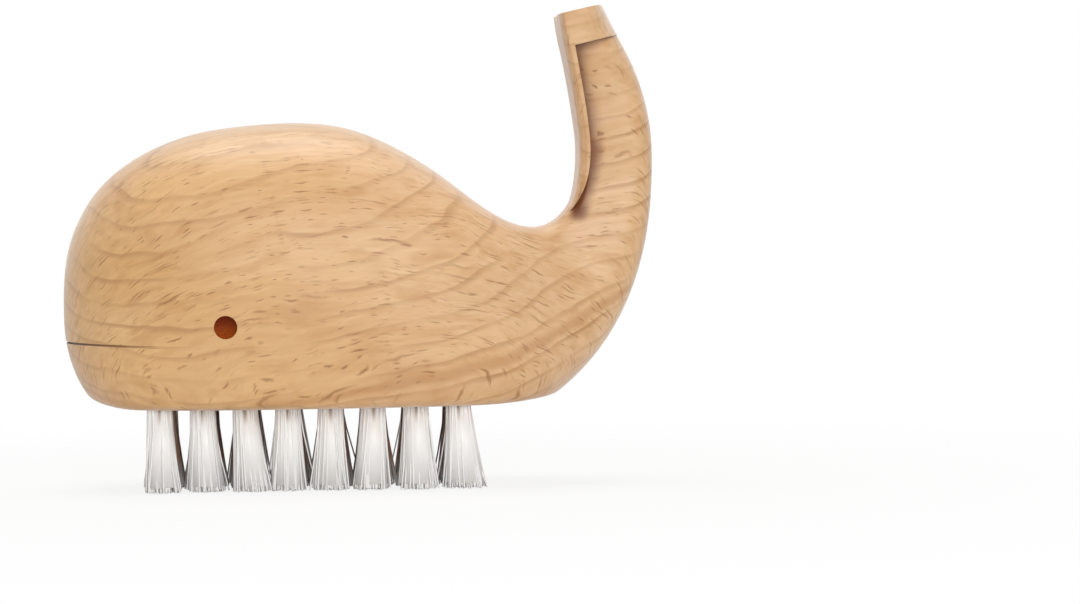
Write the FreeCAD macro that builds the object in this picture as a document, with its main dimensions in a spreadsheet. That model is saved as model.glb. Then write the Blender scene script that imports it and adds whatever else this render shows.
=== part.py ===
"""Nail brush in the form of a whale.

One carved beech block, drilled underneath for folded nylon tufts that are held by flat wire anchors, with a
dark plug for each eye. Millimetres, +Z up. The bristle tips stand on z = 0, the nose points along -X and the
tail rises at +X. The origin is the middle of the footprint.
"""
import FreeCAD
import Part
import Sketcher
import math
import os

# Driving sizes. Heights of the block are measured from its flat belly, the tuft side, unless stated.
SIZES = (
    ("overall_length", 109.8, "nose to the back of the tail"),
    ("body_width", 46.0, "widest part of the whale"),
    ("bristle_length", 15.3, "bristle tips to the belly"),
    ("body_height", 52.3, "belly to the crown of the back"),
    ("nose_height", 18.5, "belly to the foremost point"),
    ("crown_from_nose", 44.2, "nose to the crown, along X"),
    ("under_depth", 29.4, "foremost point down to the full round under the body, most of it sawn away"),
    ("saddle_height", 32.4, "belly to the lowest point between back and tail"),
    ("saddle_from_back", 23.0, "that point to the back of the tail, along X"),
    ("waist_height", 45.2, "belly to the upright part of the tail"),
    ("tail_thickness", 14.0, "front to back of the tail at its upright part"),
    ("stock_width", 12.6, "narrowest width of the tail stock"),
    ("keel_top_width", 20.8, "width of the tail stock just under the lip"),
    ("tail_height", 73.5, "belly to the top back edge of the tail"),
    ("tip_overhang", 9.15, "how far the top back edge lies in front of the back of the tail"),
    ("tip_thickness", 8.6, "front to back of the tail at its top"),
    ("tip_slope", 12.5, "degrees that the tail's top falls towards the front"),
    ("fluke_width", 24.0, "width of the fluke at its top"),
    ("fluke_waist_width", 18.8, "width of the fluke where the tail is upright"),
    ("fluke_thickness", 2.0, "thickness of the fluke's wings"),
    ("lip_height", 6.3, "full-depth band along the top of the tail, under its top back edge"),
    ("lip_slope", 13.5, "degrees that the lower border of that band falls towards the front"),
    ("lip_step", 0.25, "how far the fluke stands proud of the tail stock, front and back"),
    ("notch_depth", 3.2, "notch in the middle of the fluke's top edge"),
    ("notch_width", 9.0, "width of that notch at its mouth"),
    ("rise_radius", 80.0, "arc in which the belly rises behind the last tufts"),
    ("chin_radius", 27.0, "arc in which the belly rises in front of the first tufts"),
    ("rise_margin", 1.0, "flat wood between the outer holes and those arcs"),
    ("belly_edge_radius", 3.0, "rounding around the belly"),
    ("tuft_rows", 4, "rows across the brush"),
    ("tuft_columns", 8, "tufts in each row"),
    ("field_from_nose", 17.85, "nose to the first tufts' centres"),
    ("field_from_back", 37.15, "last tufts' centres to the back of the tail"),
    ("field_side_margin", 11.0, "outer tufts' centres to the widest line of the body"),
    ("hole_diameter", 4.8, "drilled tuft hole"),
    ("hole_depth", 10.0, "depth of the tuft hole"),
    ("tuft_clearance", 0.05, "gap between the tuft and its hole, all round"),
    ("tip_gap", 1.5, "gap between neighbouring tufts at their tips"),
    ("tip_chamfer", 0.35, "worn edge of the bristle tips"),
    ("fold_wrap", 1.2, "bristle folded over the anchor"),
    ("fold_split", 6.0, "length below the belly where the two halves of a tuft stay apart"),
    ("anchor_height", 1.6, "height of the flat wire anchor"),
    ("anchor_thickness", 0.45, "thickness of the anchor"),
    ("anchor_bite", 0.4, "how far the anchor bites into the wood at each end"),
    ("eye_from_nose", 30.5, "nose to the eye"),
    ("eye_height", 15.3, "belly to the eye"),
    ("eye_diameter", 4.25, "eye plug"),
    ("eye_depth", 8.0, "depth of the bore for the plug"),
    ("eye_recess", 0.5, "how far the plug lies below the surface"),
    ("eye_rounding", 0.4, "rounded edge of the plug"),
    ("mouth_height", 12.4, "belly to the mouth line at the nose"),
    ("mouth_slope", 2.0, "degrees that the mouth line falls towards its end"),
    ("mouth_length", 24.0, "nose to the end of the mouth line, along X"),
    ("mouth_kerf", 0.4, "height of the sawn line"),
    ("mouth_depth", 1.2, "depth of the sawn line at the nose"),
)

# Places that follow from the sizes.
PLACES = (
    ("nose_x", "-sizes.overall_length / 2"),
    ("back_x", "sizes.overall_length / 2"),
    ("belly_z", "sizes.bristle_length"),
    ("nose_z", "places.belly_z + sizes.nose_height"),
    ("crown_x", "places.nose_x + sizes.crown_from_nose"),
    ("crown_z", "places.belly_z + sizes.body_height"),
    ("under_z", "places.nose_z - sizes.under_depth"),
    ("saddle_x", "places.back_x - sizes.saddle_from_back"),
    ("saddle_z", "places.belly_z + sizes.saddle_height"),
    ("waist_x", "places.back_x - sizes.tail_thickness"),
    ("waist_z", "places.belly_z + sizes.waist_height"),
    ("tip_back_x", "places.back_x - sizes.tip_overhang"),
    ("tip_back_z", "places.belly_z + sizes.tail_height"),
    ("first_tuft_x", "places.nose_x + sizes.field_from_nose"),
    ("last_tuft_x", "places.back_x - sizes.field_from_back"),
    ("tuft_pitch", "(places.last_tuft_x - places.first_tuft_x) / (sizes.tuft_columns - 1)"),
    ("first_row_y", "sizes.field_side_margin - sizes.body_width / 2"),
    ("row_pitch", "-2 * places.first_row_y / (sizes.tuft_rows - 1)"),
    ("tip_radius", "(min(places.tuft_pitch; places.row_pitch) - sizes.tip_gap) / 2"),
    ("root_radius", "sizes.hole_diameter / 2 - sizes.tuft_clearance"),
    ("hole_top_z", "places.belly_z + sizes.hole_depth"),
    ("fold_top_z", "places.hole_top_z - sizes.tuft_clearance"),
    ("anchor_top_z", "places.fold_top_z - sizes.fold_wrap"),
    ("anchor_low_z", "places.anchor_top_z - sizes.anchor_height"),
    ("anchor_length", "sizes.hole_diameter + 2 * sizes.anchor_bite"),
    ("rise_x", "places.last_tuft_x + sizes.hole_diameter / 2 + sizes.rise_margin"),
    ("chin_x", "places.first_tuft_x - sizes.hole_diameter / 2 - sizes.rise_margin"),
    ("eye_x", "places.nose_x + sizes.eye_from_nose"),
    ("eye_z", "places.belly_z + sizes.eye_height"),
    ("mouth_z", "places.belly_z + sizes.mouth_height"),
    ("mouth_end_x", "places.nose_x + sizes.mouth_length"),
)

# Fullness of the round sections: 2 is an ellipse, larger is fuller at the corners.
BODY_FULLNESS = 2.5
TAIL_FULLNESS = 3.0
FLUKE_FULLNESS = 7.0
BEND_FULLNESS = 6.0
LIP_FULLNESS = 2.3

# The outlines are cubic curves. Each handle is a share of its curve's span.
BACK_HANDLES = (0.50, 0.22)
BEND_HANDLES = (0.51, 0.76)
REAR_HANDLES = (0.86, 0.44)
TAIL_FRONT_HANDLES = (0.35, 0.33)
TAIL_BACK_HANDLES = (0.57, 0.14)

# Share of the rear curve that faces the back of the body; the rest faces the bend.
REAR_SHARE = 0.6
# Share of the narrowing that is done by the saddle, and how late the narrowing starts.
SADDLE_SHARE = 0.75
TAPER_DELAY = 1.2
# Share of the wings' thickness that is lost from the upright part of the tail to the middle of the bend.
WING_THINNING = 0.65
# How late the tail stock flares towards the lip.
FLARE_DELAY = 1.5

# Sections through the head, as shares of the full section, closest together at the nose.
HEAD_SECTIONS = (0.10, 0.24, 0.42, 0.60, 0.76, 0.89, 0.97)
BACK_STATIONS = (0.0, 0.2, 0.4, 0.6, 0.8, 1.0)
BEND_STATIONS = (0.33, 0.67, 1.0)
TAIL_STATIONS = (0.25, 0.5, 0.75, 0.9)
FLUKE_ROOT = -0.75
FLUKE_STATIONS = (FLUKE_ROOT, -0.5, -0.25, 0.0, 0.25, 0.5, 0.75, 1.0)
SECTION_POINTS = 24

# Free reach of cutting outlines past the wood.
CLEAR = 30.0
# Distance within which two places count as one.
TOUCH = 0.01

doc = FreeCAD.newDocument("whale_nail_brush")


def make_sheet(name, rows):
    """A sheet with one named cell for each row of (alias, value, ...)."""
    sheet = doc.addObject("Spreadsheet::Sheet", name)
    for number, row in enumerate(rows, start=1):
        sheet.set(f"A{number}", row[0])
        sheet.set(f"B{number}", str(row[1]))
        sheet.setAlias(f"B{number}", row[0])
    return sheet


sizes = make_sheet("sizes", SIZES)
doc.recompute()
places = make_sheet("places", [(name, "=" + formula.replace("places.", "")) for name, formula in PLACES])
doc.recompute()


def size(name):
    return float(sizes.get(name))


def place(name):
    return float(places.get(name))


def value(formula):
    """Number that a formula on the sheets stands for."""
    return float(sizes.evalExpression(formula))


# Curves of the side view, as points (x, z)

def cubic(start, handle_a, handle_b, end, at):
    """Point of a cubic curve at a share from 0 to 1."""
    back = 1.0 - at
    weights = (back ** 3, 3 * back ** 2 * at, 3 * back * at ** 2, at ** 3)
    corners = (start, handle_a, handle_b, end)
    x = sum(weight * corner[0] for weight, corner in zip(weights, corners))
    z = sum(weight * corner[1] for weight, corner in zip(weights, corners))
    return x, z


def tip_front():
    """Front edge of the tail's top."""
    slope = math.radians(size("tip_slope"))
    x = place("tip_back_x") - size("tip_thickness") * math.cos(slope)
    z = place("tip_back_z") - size("tip_thickness") * math.sin(slope)
    return x, z


def back_curve(at):
    """Back of the whale, from the crown down to the saddle."""
    start = (place("crown_x"), place("crown_z"))
    end = (place("saddle_x"), place("saddle_z"))
    span = end[0] - start[0]
    handle_a = (start[0] + BACK_HANDLES[0] * span, start[1])
    handle_b = (end[0] - BACK_HANDLES[1] * span, end[1])
    return cubic(start, handle_a, handle_b, end, at)


def bend_curve(at):
    """Inner bend, from the saddle up to the upright front of the tail."""
    start = (place("saddle_x"), place("saddle_z"))
    end = (place("waist_x"), place("waist_z"))
    handle_a = (start[0] + BEND_HANDLES[0] * (end[0] - start[0]), start[1])
    handle_b = (end[0], end[1] - BEND_HANDLES[1] * (end[1] - start[1]))
    return cubic(start, handle_a, handle_b, end, at)


def tail_front_curve(at):
    """Front of the tail, from its upright part to its top edge, leaning forward."""
    start = (place("waist_x"), place("waist_z"))
    end = tip_front()
    rise = end[1] - start[1]
    handle_a = (start[0], start[1] + TAIL_FRONT_HANDLES[0] * rise)
    handle_b = (end[0] - TAIL_FRONT_HANDLES[1] * (end[0] - start[0]), end[1] - TAIL_FRONT_HANDLES[1] * rise)
    return cubic(start, handle_a, handle_b, end, at)


def rear_curve(at):
    """Round under the body and up the rear to the back of the tail."""
    start = (place("crown_x"), place("under_z"))
    end = (place("back_x"), place("waist_z"))
    handle_a = (start[0] + REAR_HANDLES[0] * (end[0] - start[0]), start[1])
    handle_b = (end[0], end[1] - REAR_HANDLES[1] * (end[1] - start[1]))
    return cubic(start, handle_a, handle_b, end, at)


def tail_back_curve(at):
    """Back of the tail, from its upright part to its top edge."""
    start = (place("back_x"), place("waist_z"))
    end = (place("tip_back_x"), place("tip_back_z"))
    rise = end[1] - start[1]
    handle_a = (start[0], start[1] + TAIL_BACK_HANDLES[0] * rise)
    handle_b = (end[0] - TAIL_BACK_HANDLES[1] * (end[0] - start[0]), end[1] - TAIL_BACK_HANDLES[1] * rise)
    return cubic(start, handle_a, handle_b, end, at)


# Sections of the carved form

def smooth(at):
    """Share that leaves 0 and reaches 1 without a corner."""
    return at * at * (3.0 - 2.0 * at)


def section(front, rear, half_width, fullness, widest=0.5, front_inset=0.0, rear_inset=0.0):
    """Closed round section between two outline points, upright to the side view.

    front is the point on the back or on the front of the tail, rear the point under or behind it, fullness
    a pair for the front and the rear, and widest the share of the way to the front where it is widest.
    """
    length = math.hypot(front[0] - rear[0], front[1] - rear[1])
    along = ((front[0] - rear[0]) / length, (front[1] - rear[1]) / length)
    low = rear_inset
    high = length - front_inset
    middle = low + widest * (high - low)
    points = []
    for number in range(SECTION_POINTS):
        angle = 2 * math.pi * number / SECTION_POINTS - math.pi / 2
        in_front = math.sin(angle) > 0
        power = 2 / (fullness[0] if in_front else fullness[1])
        reach = high - middle if in_front else low - middle
        across = half_width * math.copysign(abs(math.cos(angle)) ** power, math.cos(angle))
        rise = middle + reach * abs(math.sin(angle)) ** power
        points.append(FreeCAD.Vector(rear[0] + rise * along[0], across, rear[1] + rise * along[1]))
    outline = Part.BSplineCurve()
    shares = [number / SECTION_POINTS for number in range(SECTION_POINTS + 1)]
    outline.interpolate(Points=points, PeriodicFlag=True, Parameters=shares)
    return Part.Wire([outline.toShape()])


def widest_share():
    """Height of the widest line, as a share of the full section."""
    return size("under_depth") / (place("crown_z") - place("under_z"))


def head_sections():
    """Nose point and the sections that swell from it to the crown."""
    wires = [Part.Vertex(place("nose_x"), 0, place("nose_z"))]
    for share in HEAD_SECTIONS:
        back = (1 - share ** BODY_FULLNESS) ** (1 / BODY_FULLNESS)
        x = place("crown_x") - size("crown_from_nose") * back
        top = (x, place("nose_z") + share * (place("crown_z") - place("nose_z")))
        under = (x, place("nose_z") - share * size("under_depth"))
        half_width = share * size("body_width") / 2
        wires.append(section(top, under, half_width, (BODY_FULLNESS, BODY_FULLNESS), widest_share()))
    return wires


def narrowing(share, start_value, end_value):
    """Value that changes from the crown (0) to the upright part of the tail (1)."""
    return start_value + (end_value - start_value) * smooth(share ** TAPER_DELAY)


def body_section(top, under, share):
    """Section behind the crown, at a share of the way to the upright part of the tail."""
    half_width = narrowing(share, size("body_width"), size("stock_width")) / 2
    fullness = narrowing(share, BODY_FULLNESS, BEND_FULLNESS), narrowing(share, BODY_FULLNESS, TAIL_FULLNESS)
    widest = narrowing(share, widest_share(), 0.5)
    inset = size("lip_step") * max(0.0, share - SADDLE_SHARE) / (1 - SADDLE_SHARE)
    return section(top, under, half_width, fullness, widest, inset)


def stock_half_width(at):
    """Half the width of the tail stock, from its upright part (0) to the top (1)."""
    flare = size("keel_top_width") - size("stock_width")
    return (size("stock_width") + flare * at ** FLARE_DELAY) / 2


def carved_wires():
    """All sections of the body and tail stock, from the nose to inside the lip."""
    wires = head_sections()
    for at in BACK_STATIONS:
        wires.append(body_section(back_curve(at), rear_curve(REAR_SHARE * at), SADDLE_SHARE * at))
    for at in BEND_STATIONS:
        rear_at = REAR_SHARE + (1 - REAR_SHARE) * at
        share = SADDLE_SHARE + (1 - SADDLE_SHARE) * at
        wires.append(body_section(bend_curve(at), rear_curve(rear_at), share))
    fullness = BEND_FULLNESS, TAIL_FULLNESS
    for at in TAIL_STATIONS:
        rear_inset = size("lip_step") * smooth(at)
        front, rear = tail_station(at)
        wires.append(section(front, rear, stock_half_width(at), fullness, 0.5, size("lip_step"), rear_inset))
    return wires


def tail_station(at):
    """Outline points in front and behind, from the saddle (-1) past the upright part (0) to the top (1)."""
    if at < 0:
        return bend_curve(1 + at), rear_curve(1 + (1 - REAR_SHARE) * at)
    return tail_front_curve(at), tail_back_curve(at)


def fluke_half_width(at):
    """Half the fluke's width: it swells out of the bend, where its root is hidden, and widens evenly above."""
    waist = size("fluke_waist_width") / 2
    if at < 0:
        root = size("stock_width") / 3
        return waist - (waist - root) * (at / FLUKE_ROOT) ** 2
    return waist + (size("fluke_width") / 2 - waist) * at


def fluke_wires():
    """Sections of the fluke at the full depth of the tail, its root sunk into the bend."""
    fullness = FLUKE_FULLNESS, LIP_FULLNESS
    wires = []
    for at in FLUKE_STATIONS:
        sunk = size("fluke_thickness") * max(0.0, at / FLUKE_ROOT - 0.5)
        front, rear = tail_station(at)
        wires.append(section(front, rear, fluke_half_width(at), fullness, 0.5, sunk, sunk))
    return wires


def prism(edges):
    """Solid across the tail from a closed outline of the side view drawn at y = 0."""
    face = Part.Face(Part.Wire(edges))
    face.translate(FreeCAD.Vector(0, -size("fluke_width"), 0))
    return face.extrude(FreeCAD.Vector(0, 2 * size("fluke_width"), 0))


def behind_wings():
    """Space behind the fluke's wings, up to the top of the tail."""
    points = []
    for at in (-1.0,) + FLUKE_STATIONS:
        front, rear = tail_station(at)
        lost = WING_THINNING * min(1.0, max(0.0, -2 * at))
        share = size("fluke_thickness") * (1 - lost) / math.hypot(rear[0] - front[0], rear[1] - front[1])
        x = front[0] + share * (rear[0] - front[0])
        z = front[1] + share * (rear[1] - front[1])
        points.append(FreeCAD.Vector(x, 0, z))
    inner = Part.BSplineCurve()
    inner.interpolate(points)
    behind_x = place("back_x") + CLEAR
    top_behind = FreeCAD.Vector(behind_x, 0, points[-1].z)
    low_behind = FreeCAD.Vector(behind_x, 0, place("belly_z"))
    low_front = FreeCAD.Vector(points[0].x, 0, place("belly_z"))
    straight = Part.makePolygon([points[-1], top_behind, low_behind, low_front, points[0]])
    return prism([inner.toShape()] + straight.Edges)


def under_lip():
    """Space under the sloping lower border of the lip."""
    fall = math.tan(math.radians(size("lip_slope")))
    front_x = place("saddle_x") - CLEAR
    behind_x = place("back_x") + 2 * CLEAR
    low_z = place("belly_z") - CLEAR
    corners = []
    for x in (front_x, behind_x):
        lip_z = place("tip_back_z") - size("lip_height") + fall * (x - place("tip_back_x"))
        corners.append(FreeCAD.Vector(x, 0, lip_z))
    corners.append(FreeCAD.Vector(behind_x, 0, low_z))
    corners.append(FreeCAD.Vector(front_x, 0, low_z))
    return prism(Part.makePolygon(corners + corners[:1]).Edges)


def largest_solid(shape):
    return max(shape.Solids, key=lambda solid: solid.Volume)


def carved_form():
    """The whale as carved, before the belly is sawn flat and drilled."""
    body = Part.makeLoft(carved_wires(), True, False)
    fluke = Part.makeLoft(fluke_wires(), True, False)
    fluke = fluke.cut(behind_wings().common(under_lip()))
    return body.fuse(largest_solid(fluke)).Solids[0]


# Helpers for the drawn features

def origin_plane(body, role):
    for feature in body.Origin.OriginFeatures:
        if feature.Role == role:
            return feature
    raise ValueError(role)


def new_sketch(body, name, role, lift="0"):
    """Sketch on one of the body's own planes, lifted along the plane's normal by a formula."""
    sketch = body.newObject("Sketcher::SketchObject", name)
    sketch.AttachmentSupport = [(origin_plane(body, role), "")]
    sketch.MapMode = "FlatFace"
    sketch.setExpression("AttachmentOffset.Base.z", lift)
    return sketch


def fix_point(sketch, line, end, across, up):
    """Hold one end of a line at a place given by two formulas."""
    for kind, formula in (("DistanceX", across), ("DistanceY", up)):
        number = sketch.addConstraint(Sketcher.Constraint(kind, -1, 1, line, end, value(formula)))
        sketch.setExpression(f"Constraints[{number}]", formula)


def draw_polygon(sketch, corners):
    """Closed outline through corners that are pairs of formulas."""
    points = [FreeCAD.Vector(value(across), value(up), 0) for across, up in corners]
    lines = []
    for number, point in enumerate(points):
        following = points[(number + 1) % len(points)]
        lines.append(sketch.addGeometry(Part.LineSegment(point, following)))
    for number, line in enumerate(lines):
        following = lines[(number + 1) % len(lines)]
        sketch.addConstraint(Sketcher.Constraint("Coincident", line, 2, following, 1))
        fix_point(sketch, line, 1, *corners[number])


def draw_circle(sketch, across, up, diameter):
    """Circle whose centre and diameter are formulas."""
    centre = FreeCAD.Vector(value(across), value(up), 0)
    circle = sketch.addGeometry(Part.Circle(centre, FreeCAD.Vector(0, 0, 1), value(diameter) / 2))
    fix_point(sketch, circle, 3, across, up)
    number = sketch.addConstraint(Sketcher.Constraint("Diameter", circle, value(diameter)))
    sketch.setExpression(f"Constraints[{number}]", diameter)


def check_change(feature):
    """A cut or rounding must leave new faces or less wood."""
    doc.recompute()
    before = feature.BaseFeature.Shape
    after = feature.Shape
    if len(after.Faces) <= len(before.Faces) and after.Volume >= before.Volume:
        raise ValueError(f"{feature.Label} changes nothing")


def pocket(body, sketch, name, depth=None, upward=False, both_sides=False):
    """Cut a sketch into the body, through all when no depth formula is given."""
    feature = body.newObject("PartDesign::Pocket", name)
    feature.Profile = sketch
    feature.Type = 0 if depth else 1
    feature.Reversed = upward
    feature.Midplane = both_sides
    if depth:
        feature.setExpression("Length", depth)
    check_change(feature)
    return feature


# Brush block

form = doc.addObject("Part::Feature", "carved_form")
form.Shape = carved_form()

block = doc.addObject("PartDesign::Body", "brush_block")
block.BaseFeature = form
doc.recompute()

notch_sketch = new_sketch(block, "notch_outline", "YZ_Plane")
draw_polygon(notch_sketch, (
    ("-sizes.notch_width", "places.tip_back_z + sizes.notch_depth"),
    ("0", "places.tip_back_z - sizes.notch_depth"),
    ("sizes.notch_width", "places.tip_back_z + sizes.notch_depth"),
))
notch_cut = pocket(block, notch_sketch, "fluke_notch", both_sides=True)


def surface_y(x, z):
    """Half the width of the carved form at a place of the side view."""
    probe = Part.makeLine((x, 0, z), (x, size("body_width"), z))
    return form.Shape.common(probe).BoundBox.YMax


eye_surface = surface_y(place("eye_x"), place("eye_z"))
sizes.set(f"A{len(SIZES) + 1}", "eye_surface")
sizes.set(f"B{len(SIZES) + 1}", str(round(eye_surface, 4)))
sizes.setAlias(f"B{len(SIZES) + 1}", "eye_surface")
doc.recompute()

EYE_FLOOR = "(sizes.eye_surface - sizes.eye_depth)"
for side, lift in (("left", EYE_FLOOR), ("right", f"-{EYE_FLOOR}")):
    eye_sketch = new_sketch(block, f"eye_{side}_outline", "XZ_Plane", lift)
    draw_circle(eye_sketch, "places.eye_x", "places.eye_z", "sizes.eye_diameter")
    pocket(block, eye_sketch, f"eye_{side}_bore", upward=(side == "left"))


def mouth_curve():
    """Bottom of the mouth's saw cut: the head's plan, drawn back at the nose, meeting the surface behind."""
    drop = abs(place("nose_z") - place("mouth_z")) / size("under_depth")
    share = (1 - drop ** BODY_FULLNESS) ** (1 / BODY_FULLNESS)
    length = share * size("crown_from_nose") - size("mouth_depth")
    half_width = share * size("body_width") / 2
    end_angle = math.acos(((place("crown_x") - place("mouth_end_x")) / length) ** (BODY_FULLNESS / 2))
    points = []
    for number in range(SECTION_POINTS + 1):
        angle = end_angle * (1 - 2 * number / SECTION_POINTS)
        x = place("crown_x") - length * math.cos(angle) ** (2 / BODY_FULLNESS)
        y = half_width * math.copysign(abs(math.sin(angle)) ** (2 / BODY_FULLNESS), math.sin(angle))
        points.append(FreeCAD.Vector(x, y, 0))
    curve = Part.BSplineCurve()
    curve.interpolate(points)
    return curve, points[0], points[-1]


mouth_lift = "places.mouth_z + places.nose_x * tan(sizes.mouth_slope * 1 deg)"
mouth_sketch = new_sketch(block, "mouth_outline", "XY_Plane", mouth_lift)
tilt = FreeCAD.Rotation(FreeCAD.Vector(0, 1, 0), size("mouth_slope"))
mouth_sketch.AttachmentOffset = FreeCAD.Placement(mouth_sketch.AttachmentOffset.Base, tilt)
curve, mouth_left, mouth_right = mouth_curve()
mouth_sketch.addGeometry(curve)
outside = [
    mouth_right,
    FreeCAD.Vector(mouth_right.x, mouth_right.y - CLEAR, 0),
    FreeCAD.Vector(place("nose_x") - CLEAR, mouth_right.y - CLEAR, 0),
    FreeCAD.Vector(place("nose_x") - CLEAR, mouth_left.y + CLEAR, 0),
    FreeCAD.Vector(mouth_left.x, mouth_left.y + CLEAR, 0),
    mouth_left,
]
for start, end in zip(outside, outside[1:]):
    mouth_sketch.addGeometry(Part.LineSegment(start, end))
mouth_cut = pocket(block, mouth_sketch, "mouth_line", "sizes.mouth_kerf", both_sides=True)


def arc_above(lowest, radius, start_angle, end_angle):
    """Arc of a circle that has its lowest point at a given place."""
    circle = Part.Circle(lowest + FreeCAD.Vector(0, radius, 0), FreeCAD.Vector(0, 0, 1), radius)
    return Part.ArcOfCircle(circle, start_angle, end_angle)


def draw_belly(sketch):
    """Outline of the wood sawn off below: a flat that rises in an arc in front of and behind the tufts."""
    below_z = f"places.under_z - {CLEAR}"
    front_x = "places.chin_x - sizes.chin_radius * sin(45 deg)"
    rear_x = "places.rise_x + sizes.rise_radius * sin(45 deg)"
    corners = (
        (front_x, "places.belly_z + sizes.chin_radius * (1 - cos(45 deg))"),
        ("places.chin_x", "places.belly_z"),
        ("places.rise_x", "places.belly_z"),
        (rear_x, "places.belly_z + sizes.rise_radius * (1 - cos(45 deg))"),
        (rear_x, below_z),
        (front_x, below_z),
    )
    points = [FreeCAD.Vector(value(across), value(up), 0) for across, up in corners]
    chain = []
    for number, point in enumerate(points):
        following = points[(number + 1) % len(points)]
        line = Part.LineSegment(point, following)
        if number == 0:
            line = arc_above(following, size("chin_radius"), -3 * math.pi / 4, -math.pi / 2)
        if number == 2:
            line = arc_above(point, size("rise_radius"), -math.pi / 2, -math.pi / 4)
        chain.append(sketch.addGeometry(line))
    for line, following in zip(chain, chain[1:] + chain[:1]):
        sketch.addConstraint(Sketcher.Constraint("Coincident", line, 2, following, 1))
    chin, flat, rise, behind, below, before = chain
    fix_point(sketch, flat, 1, *corners[1])
    fix_point(sketch, flat, 2, *corners[2])
    fix_point(sketch, below, 1, *corners[4])
    fix_point(sketch, below, 2, *corners[5])
    fix_point(sketch, chin, 3, "places.chin_x", "places.belly_z + sizes.chin_radius")
    fix_point(sketch, rise, 3, "places.rise_x", "places.belly_z + sizes.rise_radius")
    sketch.addConstraint(Sketcher.Constraint("Vertical", behind))
    sketch.addConstraint(Sketcher.Constraint("Vertical", before))


belly_sketch = new_sketch(block, "belly_outline", "XZ_Plane")
draw_belly(belly_sketch)
belly_cut = pocket(block, belly_sketch, "belly_sawn_flat", both_sides=True)


def belly_edges(shape):
    """Names of the edges around the belly, without the line where its rise starts."""
    belly = []
    for face in shape.Faces:
        starts_at_belly = abs(face.BoundBox.ZMin - place("belly_z")) < TOUCH
        if isinstance(face.Surface, (Part.Plane, Part.Cylinder)) and starts_at_belly:
            belly.append(face)
    names = []
    for number, edge in enumerate(shape.Edges, start=1):
        touching = [face for face in belly if any(edge.isSame(own) for own in face.Edges)]
        if len(touching) == 1:
            names.append(f"Edge{number}")
    return names


belly_rounding = block.newObject("PartDesign::Fillet", "belly_edge")
belly_rounding.Base = (belly_cut, belly_edges(belly_cut.Shape))
belly_rounding.setExpression("Radius", "sizes.belly_edge_radius")
check_change(belly_rounding)

rows = int(size("tuft_rows"))
columns = int(size("tuft_columns"))


def row_y(row):
    return f"places.first_row_y + {row} * places.row_pitch"


def column_x(column):
    return f"places.first_tuft_x + {column} * places.tuft_pitch"


hole_sketch = new_sketch(block, "first_holes", "XY_Plane", "places.belly_z")
for row in range(rows):
    draw_circle(hole_sketch, column_x(0), row_y(row), "sizes.hole_diameter")
hole_cut = pocket(block, hole_sketch, "tuft_holes", "sizes.hole_depth", upward=True)

bite_sketch = new_sketch(block, "first_bites", "XY_Plane", "places.anchor_low_z")
for row in range(rows):
    left = f"{column_x(0)} - sizes.anchor_thickness / 2"
    right = f"{column_x(0)} + sizes.anchor_thickness / 2"
    front = f"{row_y(row)} - places.anchor_length / 2"
    rear = f"{row_y(row)} + places.anchor_length / 2"
    draw_polygon(bite_sketch, ((left, front), (right, front), (right, rear), (left, rear)))
bite_cut = pocket(block, bite_sketch, "anchor_bites", "sizes.anchor_height", upward=True)

hole_pattern = block.newObject("PartDesign::LinearPattern", "tuft_columns")
hole_pattern.Originals = [hole_cut, bite_cut]
hole_pattern.Direction = (origin_plane(block, "X_Axis"), [""])
hole_pattern.Occurrences = columns
hole_pattern.setExpression("Length", "places.last_tuft_x - places.first_tuft_x")
block.Tip = hole_pattern
check_change(hole_pattern)


# Eye plugs

def eye_plug(side, toward):
    """Dark plug in its bore, its outer end a little below the surface."""
    body = doc.addObject("PartDesign::Body", f"eye_plug_{side}")
    sketch = new_sketch(body, f"plug_{side}_outline", "XZ_Plane")
    draw_circle(sketch, "0", "0", "sizes.eye_diameter")
    pad = body.newObject("PartDesign::Pad", f"plug_{side}_length")
    pad.Profile = sketch
    pad.Reversed = toward > 0
    pad.setExpression("Length", "sizes.eye_depth - sizes.eye_recess")
    doc.recompute()
    ends = [edge.BoundBox.Center.y * toward for edge in pad.Shape.Edges]
    rim = f"Edge{ends.index(max(ends)) + 1}"
    rounding = body.newObject("PartDesign::Fillet", f"plug_{side}_rim")
    rounding.Base = (pad, [rim])
    rounding.setExpression("Radius", "sizes.eye_rounding")
    body.setExpression("Placement.Base.x", "places.eye_x")
    body.setExpression("Placement.Base.y", EYE_FLOOR if toward > 0 else f"-{EYE_FLOOR}")
    body.setExpression("Placement.Base.z", "places.eye_z")
    return body


# Tufts and their anchors

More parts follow.
